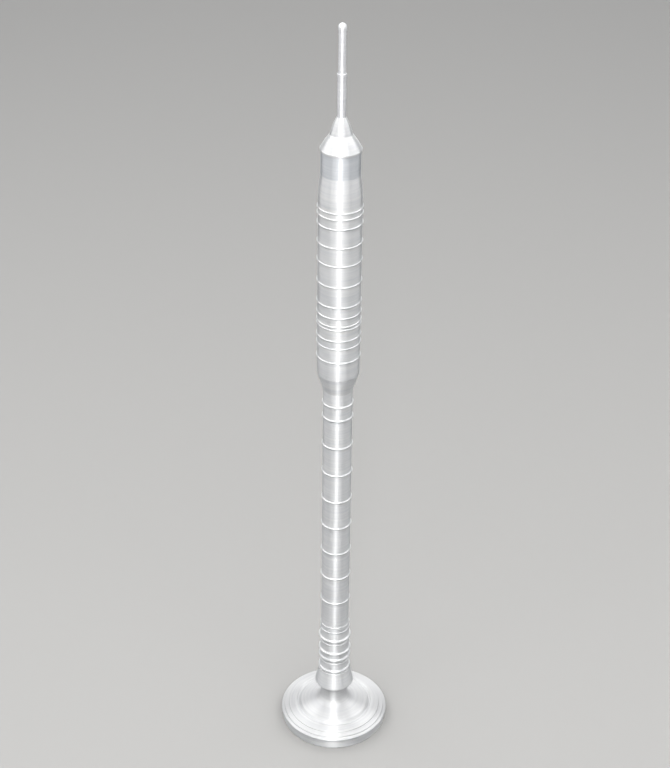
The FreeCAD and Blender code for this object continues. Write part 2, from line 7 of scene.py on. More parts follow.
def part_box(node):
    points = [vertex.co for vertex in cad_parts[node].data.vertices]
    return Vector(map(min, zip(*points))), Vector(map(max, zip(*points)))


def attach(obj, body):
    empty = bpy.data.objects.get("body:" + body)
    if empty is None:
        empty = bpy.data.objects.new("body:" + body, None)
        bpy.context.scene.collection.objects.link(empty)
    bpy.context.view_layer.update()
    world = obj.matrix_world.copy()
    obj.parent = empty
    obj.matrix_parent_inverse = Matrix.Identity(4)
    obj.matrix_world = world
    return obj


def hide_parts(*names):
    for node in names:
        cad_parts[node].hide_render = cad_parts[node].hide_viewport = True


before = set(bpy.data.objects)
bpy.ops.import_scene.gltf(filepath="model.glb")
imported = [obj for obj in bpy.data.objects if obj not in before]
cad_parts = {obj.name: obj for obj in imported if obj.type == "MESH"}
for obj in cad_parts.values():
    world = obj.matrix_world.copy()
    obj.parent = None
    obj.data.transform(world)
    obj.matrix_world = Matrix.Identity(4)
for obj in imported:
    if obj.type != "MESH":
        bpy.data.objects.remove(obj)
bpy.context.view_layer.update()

# ---- The foot ------------------------------------------------------------------------------------
# A stepped disc with a lip and a shallow cove, swept up into a neck. It is faced and turned from one
# piece of aluminium bar, hollowed underneath for its pad, and bored for the column's spigot and its
# screw.

MM = 0.001  # every size and section below is in millimetres, unless it says otherwise
AROUND = 160  # faces round a turned piece
ARC_STEP = math.radians(11)  # turn between two points of a rounded corner
ON_AXIS = 1e-6  # a section's point nearer to the axis than this closes the piece there
SMALL_BEND = 0.02  # radians; a corner that bends less than this needs no rounding
LONGEST_REACH = 0.45  # share of a section's edge that one rounded corner may take


def floor_of(node):
    """Height of a CAD node's lowest point, in millimetres."""
    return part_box(node)[0].z / MM


def top_of(node):
    """Height of a CAD node's highest point, in millimetres."""
    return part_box(node)[1].z / MM


def half_width_of(node):
    """Largest radius of a CAD node, in millimetres."""
    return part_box(node)[1].x / MM


def turned_arc(start, end, radius, side, steps):
    """Points of an arc between two points of a section; side is 1 where it bulges to the left of travel."""
    start, end = Vector(start), Vector(end)
    chord = end - start
    left = Vector((-chord.y, chord.x)).normalized() * side
    centre = (start + end) / 2 - left * math.sqrt(radius * radius - chord.length_squared / 4)
    first = math.atan2(start.y - centre.y, start.x - centre.x)
    last = math.atan2(end.y - centre.y, end.x - centre.x)
    swing = (last - first + math.pi) % (2 * math.pi) - math.pi
    angles = [first + swing * n / steps for n in range(1, steps)]
    return [(centre.x + radius * math.cos(a), centre.y + radius * math.sin(a), 0) for a in angles]


def rounded_section(section):
    """Points and outward normals of a closed section, from anticlockwise (radius, height, rounding)."""
    places = [Vector(corner[:2]) for corner in section]
    made = []
    for n, corner in enumerate(section):
        here = places[n]
        came, goes = here - places[n - 1], places[(n + 1) % len(places)] - here
        before, after = came.normalized(), goes.normalized()
        bend = math.atan2(before.x * after.y - before.y * after.x, before.dot(after))
        facing = math.atan2(-before.x, before.y)
        if here.x < ON_AXIS:
            made.append((here, Vector((0, math.copysign(1, -before.x - after.x)))))
            continue
        if corner[2] == 0 or abs(bend) < SMALL_BEND:
            made.append((here, Vector((math.cos(facing + bend / 2), math.sin(facing + bend / 2)))))
            continue
        half_turn = math.tan(abs(bend) / 2)
        reach = min(corner[2] * half_turn, came.length * LONGEST_REACH, goes.length * LONGEST_REACH)
        radius = math.copysign(reach / half_turn, bend)
        centre = here - before * reach - Vector((math.cos(facing), math.sin(facing))) * radius
        steps = max(2, math.ceil(abs(bend) / ARC_STEP))
        for step in range(steps + 1):
            angle = facing + bend * step / steps
            normal = Vector((math.cos(angle), math.sin(angle)))
            made.append((centre + normal * radius, normal))
    return made


def turned_piece(name, section):
    """A mesh turned about the axis from a closed section in millimetres."""
    points = rounded_section(section)
    turns = [(math.cos(2 * math.pi * n / AROUND), math.sin(2 * math.pi * n / AROUND)) for n in range(AROUND)]
    corners, normals, rings = [], [], []
    for place, normal in points:
        on_axis = place.x < ON_AXIS
        rings.append((len(corners), on_axis))
        for x, y in turns[:1] if on_axis else turns:
            corners.append((place.x * x * MM, place.x * y * MM, place.y * MM))
            normals.append((normal.x * x, normal.x * y, normal.y))
    faces = []
    for n, (low, low_on_axis) in enumerate(rings):
        high, high_on_axis = rings[(n + 1) % len(rings)]
        if low_on_axis and high_on_axis:
            continue
        for a in range(AROUND):
            b = (a + 1) % AROUND
            if low_on_axis:
                faces.append((low, high + b, high + a))
            elif high_on_axis:
                faces.append((low + a, low + b, high))
            else:
                faces.append((low + a, low + b, high + b, high + a))
    mesh = bpy.data.meshes.new(name)
    mesh.from_pydata(corners, [], faces)
    mesh.shade_smooth()
    mesh.normals_split_custom_set_from_vertices(normals)
    piece = bpy.data.objects.new(name, mesh)
    bpy.context.scene.collection.objects.link(piece)
    return piece


def colour(code):
    """Linear colour of an sRGB hex value."""
    parts = [int(code[n : n + 2], 16) / 255 for n in (1, 3, 5)]
    return [p / 12.92 if p <= 0.04045 else ((p + 0.055) / 1.055) ** 2.4 for p in parts] + [1.0]


def add(tree, kind, sockets=None, **settings):
    """Adds a node with its settings, and gives each named or numbered input a value or a link."""
    node = tree.nodes.new(kind)
    for name, value in settings.items():
        setattr(node, name, value)
    for socket, value in (sockets or {}).items():
        if isinstance(value, bpy.types.NodeSocket):
            tree.links.new(value, node.inputs[socket])
        else:
            node.inputs[socket].default_value = value
    return node


LINE_DRIFT = 0.04  # how far a tool line wanders over the piece's width, as a share of it
LINES_TO_A_BAND = 2.5  # tool lines that share one tone
QUARTER_TURN = 0.25  # turns the stretched gloss from along the tool lines to across them
NOISE_LOW, NOISE_HIGH = 0.3, 0.7  # the part of the noise that holds nearly all of it
GLOSS_VARIATION = 0.12  # share of the roughness, either way


def lathe_coordinate(tree):
    """Distance from the axis and height as one vector, so that a pattern runs round in long arcs."""
    place = add(tree, "ShaderNodeTexCoord").outputs["Object"]
    split = add(tree, "ShaderNodeSeparateXYZ", {0: place})
    flat = add(tree, "ShaderNodeCombineXYZ", {0: split.outputs[0], 1: split.outputs[1]})
    radius = add(tree, "ShaderNodeVectorMath", {0: flat.outputs[0]}, operation="LENGTH")
    across = add(tree, "ShaderNodeMath", {0: split.outputs[0], 1: split.outputs[1]}, operation="ADD")
    drift = add(tree, "ShaderNodeMath", {0: across.outputs[0], 1: LINE_DRIFT}, operation="MULTIPLY")
    sockets = {0: radius.outputs["Value"], 1: split.outputs[2], 2: drift.outputs[0]}
    return add(tree, "ShaderNodeCombineXYZ", sockets).outputs[0]


def turned_metal(name, light, dark, roughness, spread, line_spacing, cut_depth):
    """Metal with tool lines round it, their spacing and depth in millimetres; spread stretches its gloss."""
    metal = bpy.data.materials.new(name)
    metal.use_nodes = True
    tree = metal.node_tree
    shader = tree.nodes["Principled BSDF"]
    place = lathe_coordinate(tree)
    band_scale = 1 / (line_spacing * LINES_TO_A_BAND * MM)
    line_scale = 1 / (line_spacing * MM)
    coarse = add(tree, "ShaderNodeTexNoise", {"Vector": place, "Scale": band_scale, "Detail": 2.0})
    fine = add(tree, "ShaderNodeTexNoise", {"Vector": place, "Scale": line_scale, "Detail": 3.0})
    bands = add(tree, "ShaderNodeMapRange", {0: coarse.outputs["Fac"], 1: NOISE_LOW, 2: NOISE_HIGH})
    sockets = {0: bands.outputs[0], 6: colour(dark), 7: colour(light)}
    tone = add(tree, "ShaderNodeMix", sockets, data_type="RGBA")
    rough, smooth = roughness * (1 + GLOSS_VARIATION), roughness * (1 - GLOSS_VARIATION)
    sockets = {0: fine.outputs["Fac"], 1: NOISE_LOW, 2: NOISE_HIGH, 3: rough, 4: smooth}
    gloss = add(tree, "ShaderNodeMapRange", sockets)
    sockets = {"Height": fine.outputs["Fac"], "Strength": 1.0, "Distance": cut_depth * MM}
    bump = add(tree, "ShaderNodeBump", sockets)
    tangent = add(tree, "ShaderNodeTangent", direction_type="RADIAL", axis="Z")
    tree.links.new(tone.outputs[2], shader.inputs["Base Color"])
    tree.links.new(gloss.outputs[0], shader.inputs["Roughness"])
    tree.links.new(bump.outputs[0], shader.inputs["Normal"])
    tree.links.new(tangent.outputs[0], shader.inputs["Tangent"])
    shader.inputs["Metallic"].default_value = 1.0
    shader.inputs["Anisotropic"].default_value = spread
    shader.inputs["Anisotropic Rotation"].default_value = QUARTER_TURN
    return metal


# Bright turned aluminium: a pale, slightly soft metal. The tool leaves fine rings, which draw each light
# out into a line along the barrels and a fan across the disc. The rings are drawn 0.4 mm apart, coarser
# than the real feed.
bright_turned_aluminium = turned_metal(
    "bright_turned_aluminium", "#F2F2F1", "#E6E7E8", 0.5, 0.97, 0.4, 0.0016
)

FOOT_BASE = 23.25
RECESS = 18.5
RECESS_DEPTH = 1.2
LIP_TOP = 5.3
LIP_HEIGHT = 1.1
LIP_WIDTH = 1.3
LIP_EDGE = 0.1
TIER_WIDTH = 2.1
RISER = 0.35
DISC_SLOPE = 0.28
COVE_MIDDLE = 16.2
COVE_HALF_WIDTH = 1.4
COVE_DEPTH = 0.72
COVE_STEPS = 16
SWEEP_START = 9.3
SWEEP_RISE = 4.34
SWEEP_RADIUS = 4.5
FOOT_NECK = 6.0
SPIGOT_SOCKET = 4.02
SCREW_HOLE = 2.75
COUNTERBORE = 5.25
SOCKET_FLOOR = 14.2
COUNTERBORE_CEILING = 8.6

foot_rim = half_width_of("foot")
lip_edge = foot_rim - LIP_WIDTH
tier_edge = lip_edge - TIER_WIDTH
lip_inner = LIP_TOP + DISC_SLOPE * LIP_WIDTH
tier_outer = lip_inner + RISER
tier_inner = tier_outer + DISC_SLOPE * TIER_WIDTH
disc_outer = tier_inner + RISER
sweep_low = disc_outer + DISC_SLOPE * (tier_edge - SWEEP_START)
sweep_high = sweep_low + SWEEP_RISE

# The cove runs out softly into the disc at both edges.
cove = []
for step in range(COVE_STEPS + 1):
    across = 1 - 2 * step / COVE_STEPS
    radius = COVE_MIDDLE + COVE_HALF_WIDTH * across
    dip = COVE_DEPTH * (1 + math.cos(math.pi * across)) / 2
    cove.append((radius, disc_outer + DISC_SLOPE * (tier_edge - radius) - dip, 0))

foot_section = [
    (RECESS, 0, 0.15),
    (FOOT_BASE, 0, 0.35),
    (foot_rim - LIP_HEIGHT / 2, LIP_TOP - LIP_HEIGHT, 0.25),
    (foot_rim, LIP_TOP - LIP_HEIGHT * 0.75, 0.3),
    (foot_rim, LIP_TOP - LIP_EDGE, 0.4),
    (lip_edge, lip_inner, 0.12),
    (lip_edge, tier_outer, 0.16),
    (tier_edge, tier_inner, 0.12),
    (tier_edge, disc_outer, 0.16),
    *cove,
    (SWEEP_START, sweep_low, 0),
    *turned_arc((SWEEP_START, sweep_low), (FOOT_NECK, sweep_high), SWEEP_RADIUS, 1, 16),
    (FOOT_NECK, sweep_high, 0),
    (FOOT_NECK, top_of("foot"), 0.1),
    (SPIGOT_SOCKET, top_of("foot"), 0.1),
    (SPIGOT_SOCKET, SOCKET_FLOOR, 0.05),
    (SCREW_HOLE, SOCKET_FLOOR, 0.05),
    (SCREW_HOLE, COUNTERBORE_CEILING, 0.05),
    (COUNTERBORE, COUNTERBORE_CEILING, 0.05),
    (COUNTERBORE, RECESS_DEPTH, 0.1),
    (RECESS, RECESS_DEPTH, 0.1),
]


def finished_piece(name, section, body, metal, slot, *nodes):
    """Turns a piece from its section, gives it its metal, and lets it ride and stand for its CAD nodes."""
    piece = turned_piece(name, section)
    piece.data.materials.append(metal)
    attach(piece, body)
    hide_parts(*nodes)
    return piece


def refinish_outside(piece, metal, radius, height):
    """Gives a turned piece another metal where it is wider and higher than the given millimetres."""
    piece.data.materials.append(metal)
    for face in piece.data.polygons:
        if math.hypot(face.center.x, face.center.y) > radius * MM and face.center.z > height * MM:
            face.material_index = 1


foot = finished_piece(
    "stepped_foot", foot_section, "column", bright_turned_aluminium, "turned_aluminium", "foot"
)

# Faced aluminium: the disc's top is cut from the rim inwards, which leaves it a little duller than the
# barrels.
# Its darker grey colour is painted shade: a dimmed copy of the aluminium that holds down the light falling
# on the up-facing disc. Its rings keep the 0.4 mm spacing, so that they show.
faced_aluminium_painted_shade = turned_metal("faced_aluminium_painted_shade", "#DCDCDB", "#D1D1D2", 0.5, 0.93, 0.4, 0.0014)
SOCKET_WALL = 0.5
# The painted shade of the darker copy goes on every face of the foot wider than the socket and above the
# lip.
refinish_outside(foot, faced_aluminium_painted_shade, SPIGOT_SOCKET + SOCKET_WALL, LIP_TOP - LIP_EDGE)

# ---- The pad under the foot ----------------------------------------------------------------------
# A disc of black rubber sheet, stamped out and glued in the hollow, so that the foot doesn't slide or
# scratch. It hides the screw.


PEBBLE_DEPTH = 0.15  # share of the grain
DULL_PATCH = 4.0  # millimetres


def sheet_rubber(name, tone, grain):
    """Matt rubber with a fine pebbled face; the grain is in millimetres."""
    rubber = bpy.data.materials.new(name)
    rubber.use_nodes = True
    tree = rubber.node_tree
    shader = tree.nodes["Principled BSDF"]
    place = add(tree, "ShaderNodeTexCoord").outputs["Object"]
    pebbles = add(tree, "ShaderNodeTexVoronoi", {"Vector": place, "Scale": 1 / (grain * MM)})
    sockets = {"Height": pebbles.outputs["Distance"], "Distance": grain * PEBBLE_DEPTH * MM}
    bump = add(tree, "ShaderNodeBump", sockets)
    sockets = {"Vector": place, "Scale": 1 / (DULL_PATCH * MM), "Detail": 3.0}
    clouds = add(tree, "ShaderNodeTexNoise", sockets)
    gloss = add(tree, "ShaderNodeMapRange", {0: clouds.outputs["Fac"], 3: 0.72, 4: 0.9})
    shader.inputs["Base Color"].default_value = colour(tone)
    tree.links.new(gloss.outputs[0], shader.inputs["Roughness"])
    tree.links.new(bump.outputs[0], shader.inputs["Normal"])
    return rubber


# Black sheet rubber, calendered against cloth: dull, with pebbles 0.5 mm across that only show from close
# by.
black_sheet_rubber = sheet_rubber("black_sheet_rubber", "#232323", 0.5)

pad_radius = half_width_of("foot_pad")
pad_section = [
    (0, 0, 0),
    (pad_radius, 0, 0.15),
    (pad_radius, top_of("foot_pad"), 0.1),
    (0, top_of("foot_pad"), 0),
]
finished_piece("rubber_pad", pad_section, "column", black_sheet_rubber, "pad_rubber", "foot_pad")

# ---- Screw, washers and stud ---------------------------------------------------------------------
# Bought steel fastenings, zinc plated: the socket screw with its plain and split washers under the foot,
# and the stud through the reducer. Their CAD solids stay and get their finish.


def plain_metal(name, tone, roughness, mottle):
    """Metal whose gloss varies in patches of a given size in millimetres."""
    metal = bpy.data.materials.new(name)
    metal.use_nodes = True
    tree = metal.node_tree
    shader = tree.nodes["Principled BSDF"]
    place = add(tree, "ShaderNodeTexCoord").outputs["Object"]
    patches = add(tree, "ShaderNodeTexNoise", {"Vector": place, "Scale": 1 / (mottle * MM), "Detail": 4.0})
    sockets = {0: patches.outputs["Fac"], 3: roughness * 0.8, 4: roughness * 1.2}
    gloss = add(tree, "ShaderNodeMapRange", sockets)
    shader.inputs["Base Color"].default_value = colour(tone)
    shader.inputs["Metallic"].default_value = 1.0
    tree.links.new(gloss.outputs[0], shader.inputs["Roughness"])
    return metal


def refinish(node, metal):
    """Gives a CAD node another material."""
    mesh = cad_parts[node].data
    for n in range(len(mesh.materials)):
        mesh.materials[n] = metal


# Zinc-plated steel: a cool grey metal with soft gloss, in patches of 1.5 mm from the plating bath.
zinc_plated_steel = plain_metal("zinc_plated_steel", "#C3C6C9", 0.38, 1.5)

for fastening in ("foot_screw", "foot_washer", "foot_lock_washer", "joint_stud"):
    refinish(fastening, zinc_plated_steel)

# ---- The ferrule ---------------------------------------------------------------------------------
# A flared aluminium sleeve, turned and bored, that slides on the lower barrel's spigot. The foot's screw
# clamps it, and its skirt overhangs the foot's neck and hides the joint.

SKIRT_HEIGHT = 0.9
FERRULE_TOP = 7.1
FERRULE_LAND = 1.2

skirt = half_width_of("ferrule")
ferrule_floor, ferrule_top = floor_of("ferrule"), top_of("ferrule")
ferrule_section = [
    (SPIGOT_SOCKET, ferrule_floor, 0.1),
    (skirt, ferrule_floor, 0.22),
    (skirt, ferrule_floor + SKIRT_HEIGHT, 3.0),
    (FERRULE_TOP, ferrule_top - FERRULE_LAND, 6.0),
    (FERRULE_TOP, ferrule_top, 0.1),
    (SPIGOT_SOCKET, ferrule_top, 0.1),
]
finished_piece(
    "flared_ferrule", ferrule_section, "column", bright_turned_aluminium, "turned_aluminium", "ferrule"
)

# ---- The beaded collar ---------------------------------------------------------------------------
# An aluminium sleeve clamped between the ferrule and the lower barrel. A form tool leaves four round
# beads standing on it, and a sharper one leaves four fine ones.

COLLAR_CORE = 6.35
COLLAR_TAPER = 6.6
COLLAR_BEADS = (0.045, 0.277, 0.406, 0.665)
COLLAR_LINES = (0.195, 0.58, 0.83, 0.925)
BEAD_RISE = 0.77
BEAD_WIDTH = 1.16
LINE_RISE = 0.24
LINE_WIDTH = 0.46
LOWER_RADIUS = 6.03


def bead(radius, height, rise, width):
    """Corners of a round bead on a barrel, for a section that travels upwards."""
    return [
        (radius, height - width / 2, rise * 0.35),
        (radius + rise, height - width * 0.3, rise * 0.7),
        (radius + rise, height + width * 0.3, rise * 0.7),
        (radius, height + width / 2, rise * 0.35),
    ]


collar_floor, collar_top = floor_of("beaded_collar"), top_of("beaded_collar")
collar_length = collar_top - collar_floor
taper_floor = collar_top - COLLAR_TAPER
collar_rings = [(share, BEAD_RISE, BEAD_WIDTH) for share in COLLAR_BEADS]
collar_rings += [(share, LINE_RISE, LINE_WIDTH) for share in COLLAR_LINES]
collar_section = [(SPIGOT_SOCKET, collar_floor, 0.1), (COLLAR_CORE, collar_floor, 0.1)]
on_taper = False
for share, rise, width in sorted(collar_rings):
    height = collar_floor + collar_length * share
    if height > taper_floor and not on_taper:
        collar_section.append((COLLAR_CORE, taper_floor, 4.0))
        on_taper = True
    narrowing = max(0, height - taper_floor) / COLLAR_TAPER * (COLLAR_CORE - LOWER_RADIUS)
    collar_section += bead(COLLAR_CORE - narrowing, height, rise, width)
collar_section += [(LOWER_RADIUS, collar_top, 0.03), (SPIGOT_SOCKET, collar_top, 0.1)]
finished_piece(
    "beaded_collar_sleeve",
    collar_section,
    "column",
    bright_turned_aluminium,
    "turned_aluminium",
    "beaded_collar",
)

# ---- The lower barrel ----------------------------------------------------------------------------
# A slim aluminium bar with nine narrow beads, evenly spaced but for the last. Its long spigot goes down
# through the collar and the ferrule, and its register and stud hold the reducer.

SPIGOT = 4.0
SPIGOT_TAPPING = 2.52
LOWER_BOTTOM_LAND = 11.7
LOWER_PITCH = 13.62
LOWER_SHORT_PITCH = 6.5
LOWER_PITCHES = 7
LOWER_RISE = 0.42
LOWER_BEAD_WIDTH = 0.8
REGISTER = 4.2
REGISTER_HEIGHT = 2.0
STUD_BORE = 3.02
STUD_GRIP = 14.0
TAPPING_SPARE = 2.0

lower_seat = collar_top
lower_end = floor_of("reducer")
lower_beads = [lower_seat + LOWER_BOTTOM_LAND + LOWER_PITCH * n for n in range(LOWER_PITCHES + 1)]
lower_beads.append(lower_beads[-1] + LOWER_SHORT_PITCH)
tapping_end = top_of("foot_screw") + TAPPING_SPARE
lower_section = [
    (SPIGOT_TAPPING, floor_of("lower_barrel"), 0.1),
    (SPIGOT, floor_of("lower_barrel"), 0.3),
    (SPIGOT, lower_seat, 0.05),
    (LOWER_RADIUS, lower_seat, 0.03),
]
for height in lower_beads:
    lower_section += bead(LOWER_RADIUS, height, LOWER_RISE, LOWER_BEAD_WIDTH)
lower_section += [
    (LOWER_RADIUS, lower_end, 0.03),
    (REGISTER, lower_end, 0.05),
    (REGISTER, lower_end + REGISTER_HEIGHT, 0.2),
    (STUD_BORE, lower_end + REGISTER_HEIGHT, 0.1),
    (STUD_BORE, lower_end - STUD_GRIP, 0.1),
    (0, lower_end - STUD_GRIP, 0),
    (0, tapping_end, 0),
    (SPIGOT_TAPPING, tapping_end, 0.1),
]
finished_piece(
    "slim_beaded_barrel",
    lower_section,
    "column",
    bright_turned_aluminium,
    "turned_aluminium",
    "lower_barrel",
)

# ---- The reducer ---------------------------------------------------------------------------------
# An aluminium cone between the two barrels, turned to run into each of them without an edge. It sits on a
# register of the lower barrel, carries one for the upper, and the stud through it clamps all three.

CONE_LENGTH = 7.2
CONE_TOP = 8.1
UPPER_RADIUS = 8.575
ROUNDING_LENGTH = 2.1
REDUCER_REGISTER = 6.0
REDUCER_HOLE = 3.25
REDUCER_BORE = 4.22
REGISTER_DEPTH = REGISTER_HEIGHT + 0.05
BLEND_RADIUS = LOWER_RADIUS + 0.02
BLEND_HEIGHT = 0.25

reducer_top = lower_end + CONE_LENGTH + ROUNDING_LENGTH
cone_gap = UPPER_RADIUS - CONE_TOP
rounding = (cone_gap**2 + ROUNDING_LENGTH**2) / (2 * cone_gap)
cone_end = (CONE_TOP, lower_end + CONE_LENGTH)
reducer_section = [
    (REDUCER_BORE, lower_end, 0.05),
    (LOWER_RADIUS, lower_end, 0.03),
    (BLEND_RADIUS, lower_end + BLEND_HEIGHT, 7.0),
    (*cone_end, 3.0),
    *turned_arc(cone_end, (UPPER_RADIUS, reducer_top), rounding, -1, 10),
    (UPPER_RADIUS, reducer_top, 0.03),
    (REDUCER_REGISTER, reducer_top, 0.05),
    (REDUCER_REGISTER, reducer_top + REGISTER_HEIGHT, 0.2),
    (REDUCER_HOLE, reducer_top + REGISTER_HEIGHT, 0.1),
    (REDUCER_HOLE, lower_end + REGISTER_DEPTH, 0.05),
    (REDUCER_BORE, lower_end + REGISTER_DEPTH, 0.05),
]
finished_piece(
    "reducer_cone", reducer_section, "column", bright_turned_aluminium, "turned_aluminium", "reducer"
)

# ---- The upper barrel ----------------------------------------------------------------------------
# The thick aluminium bar, turned with thirteen narrow beads, close together at its top and below its
# middle. It is bored and tapped at both ends, for the stud below and the shoulder above.

UPPER_BOTTOM_LAND = 7.5
UPPER_GAPS = (6.4, 3.6, 5.0, 1.5, 3.7, 4.8, 8.9, 9.1, 7.8, 7.9, 4.1, 2.5)
UPPER_RISE = 0.34
UPPER_BEAD_WIDTH = 0.66
UPPER_REGISTER = REDUCER_REGISTER + 0.02
SHOULDER_TAPPING = 5.02
SHOULDER_TAPPING_DEPTH = 11.0

upper_top = top_of("upper_barrel")
upper_beads = [reducer_top + UPPER_BOTTOM_LAND]
for gap in UPPER_GAPS:
    upper_beads.append(upper_beads[-1] + gap)
upper_section = [(UPPER_REGISTER, reducer_top, 0.05), (UPPER_RADIUS, reducer_top, 0.03)]
for height in upper_beads:
    upper_section += bead(UPPER_RADIUS, height, UPPER_RISE, UPPER_BEAD_WIDTH)
upper_section += [
    (UPPER_RADIUS, upper_top, 0.03),
    (SHOULDER_TAPPING, upper_top, 0.1),
    (SHOULDER_TAPPING, upper_top - SHOULDER_TAPPING_DEPTH, 0.1),
    (0, upper_top - SHOULDER_TAPPING_DEPTH, 0),
    (0, reducer_top + STUD_GRIP, 0),
    (STUD_BORE, reducer_top + STUD_GRIP, 0.1),
    (STUD_BORE, reducer_top + REGISTER_DEPTH, 0.1),
    (UPPER_REGISTER, reducer_top + REGISTER_DEPTH, 0.05),
]
finished_piece(
    "thick_beaded_barrel",
    upper_section,
    "column",
    bright_turned_aluminium,
    "turned_aluminium",
    "upper_barrel",
)

# ---- The shoulder --------------------------------------------------------------------------------
# A plain flare and neck, turned from aluminium bar. Its spigot screws into the upper barrel, and it is
# bored and tapped for the nose cap.

NECK = 7.625
NECK_LENGTH = 9.3
SHOULDER_ARC = 92.0
SHOULDER_SPIGOT = 5.0
CAP_BORE = 5.03
CAP_BORE_DEPTH = 12.6

neck_top = top_of("shoulder")
neck_floor = neck_top - NECK_LENGTH
shoulder_section = [
    (0, floor_of("shoulder"), 0),
    (SHOULDER_SPIGOT, floor_of("shoulder"), 0.3),
    (SHOULDER_SPIGOT, upper_top, 0.05),
    (UPPER_RADIUS, upper_top, 0.03),
    *turned_arc((UPPER_RADIUS, upper_top), (NECK, neck_floor), SHOULDER_ARC, -1, 16),
    (NECK, neck_floor, 0.6),
    (NECK, neck_top, 0.08),
    (CAP_BORE, neck_top, 0.3),
    (CAP_BORE, neck_top - CAP_BORE_DEPTH, 0.1),
    (0, neck_top - CAP_BORE_DEPTH, 0),
]
shoulder = finished_piece(
    "flared_shoulder", shoulder_section, "column", bright_turned_aluminium, "turned_aluminium", "shoulder"
)

# Finely turned aluminium: the neck has a finer last cut than the flare, and it spreads the light a little
# less.
# Its colour is also a slightly darker, cooler copy of the aluminium, a painted reflection of the dim bluish
# surroundings on the neck. Its rings are drawn 0.3 mm apart, still coarser than real ones.
finely_turned_aluminium_painted_reflection = turned_metal(
    "finely_turned_aluminium_painted_reflection", "#EDEFF1", "#E3E6E9", 0.47, 0.95, 0.3, 0.0012
)
NECK_WALL = 0.4
# The darker, cooler painted reflection goes on the neck's outside faces.
refinish_outside(shoulder, finely_turned_aluminium_painted_reflection, NECK - NECK_WALL, neck_floor)

# ---- The nose cap --------------------------------------------------------------------------------
# An aluminium cap with a thin rim, a wide cone and an ogive that closes on the pin. Its threaded spigot
# screws into the neck, so that the pin comes off with it. A brass ring screwed in from below traps the
# pin.

RIM_HEIGHT = 0.9
RIM_STEP = 0.08
CAP_CONE_HEIGHT = 5.6
CAP_CONE_ARC = 28.0
OGIVE_FOOT = 4.25
OGIVE_ARC = 23.0
SLEEVE_BORE = 1.75
CAP_THREAD = 5.0
CAP_THREAD_LENGTH = 9.0
THREAD_PITCH = 1.0
THREAD_DEPTH = 0.45
THREAD_GROOVES = 7
FIRST_GROOVE = 7.5  # pitches below the rim
SLEEVE_POCKET = 3.23
SLEEVE_POCKET_DEPTH = 2.4

cap_rim = half_width_of("nose_cap")
cap_seat = neck_top
cap_top = top_of("nose_cap")
cone_top = (OGIVE_FOOT, cap_seat + RIM_HEIGHT + CAP_CONE_HEIGHT)
cone_floor = (cap_rim - RIM_STEP, cap_seat + RIM_HEIGHT)
spigot_floor = cap_seat - CAP_THREAD_LENGTH
cap_section = [(SLEEVE_POCKET, spigot_floor, 0.05), (CAP_THREAD, spigot_floor, 0.2)]
for groove in range(THREAD_GROOVES):
    valley = cap_seat - THREAD_PITCH * (FIRST_GROOVE - groove)
    cap_section += [
        (CAP_THREAD, valley - THREAD_PITCH / 4, 0.06),
        (CAP_THREAD - THREAD_DEPTH, valley, 0.06),
        (CAP_THREAD, valley + THREAD_PITCH / 4, 0.06),
    ]
cap_section += [
    (CAP_THREAD, cap_seat, 0.05),
    (cap_rim, cap_seat, 0.12),
    (cap_rim, cap_seat + RIM_HEIGHT, 0.12),
    (*cone_floor, 0.05),
    *turned_arc(cone_floor, cone_top, CAP_CONE_ARC, -1, 16),
    (*cone_top, 0.8),
    *turned_arc(cone_top, (SLEEVE_BORE, cap_top), OGIVE_ARC, -1, 18),
    (SLEEVE_BORE, cap_top, 0.05),
    (SLEEVE_BORE, spigot_floor + SLEEVE_POCKET_DEPTH, 0.05),
    (SLEEVE_POCKET, spigot_floor + SLEEVE_POCKET_DEPTH, 0.05),
]
finished_piece(
    "conical_nose_cap", cap_section, "nose", bright_turned_aluminium, "turned_aluminium", "nose_cap"
)

# Plain machined brass: a warm yellow metal, with millimetre patches that are duller where the tool left
# it.
machined_brass = plain_metal("machined_brass", "#D9B871", 0.3, 1.0)
refinish("retaining_ring", machined_brass)

# ---- The telescoping pin -------------------------------------------------------------------------
# A drawn steel tube held in the cap by its flange, its mouth rolled in over a polished steel rod. A split
# brass sleeve grips the inside of the tube, and a bullet-shaped button is pressed on the rod's tenon.

TUBE_RADIUS = 1.72
TUBE_BORE = 1.55
TUBE_FLANGE = 3.2
FLANGE_THICKNESS = 1.2
MOUTH_LENGTH = 1.3
MOUTH_BORE = 1.47
MOUTH_RISE = 0.06
MOUTH_RAMP = 0.12
ROD_RADIUS = 1.44
ROD_END = 1.52
GRIP_SEAT = 1.29
GRIP_CLEARANCE = 0.05
TENON = 0.75
TENON_LENGTH = 2.2
TIP_NECK = 1.5
TIP_WIDEST = 1.63
TIP_RAMP = 0.25
TIP_DOME = TIP_WIDEST * 0.96
TIP_BORE = 0.77
TIP_BORE_DEPTH = TENON_LENGTH + 0.05

# Drawn and polished steel: whiter than the aluminium and smoother, with faint rings from the polishing
# cloth. They are drawn 0.5 mm apart, so that they show.
polished_drawn_steel = turned_metal("polished_drawn_steel", "#F6F6F7", "#ECECEE", 0.5, 0.93, 0.5, 0.0008)

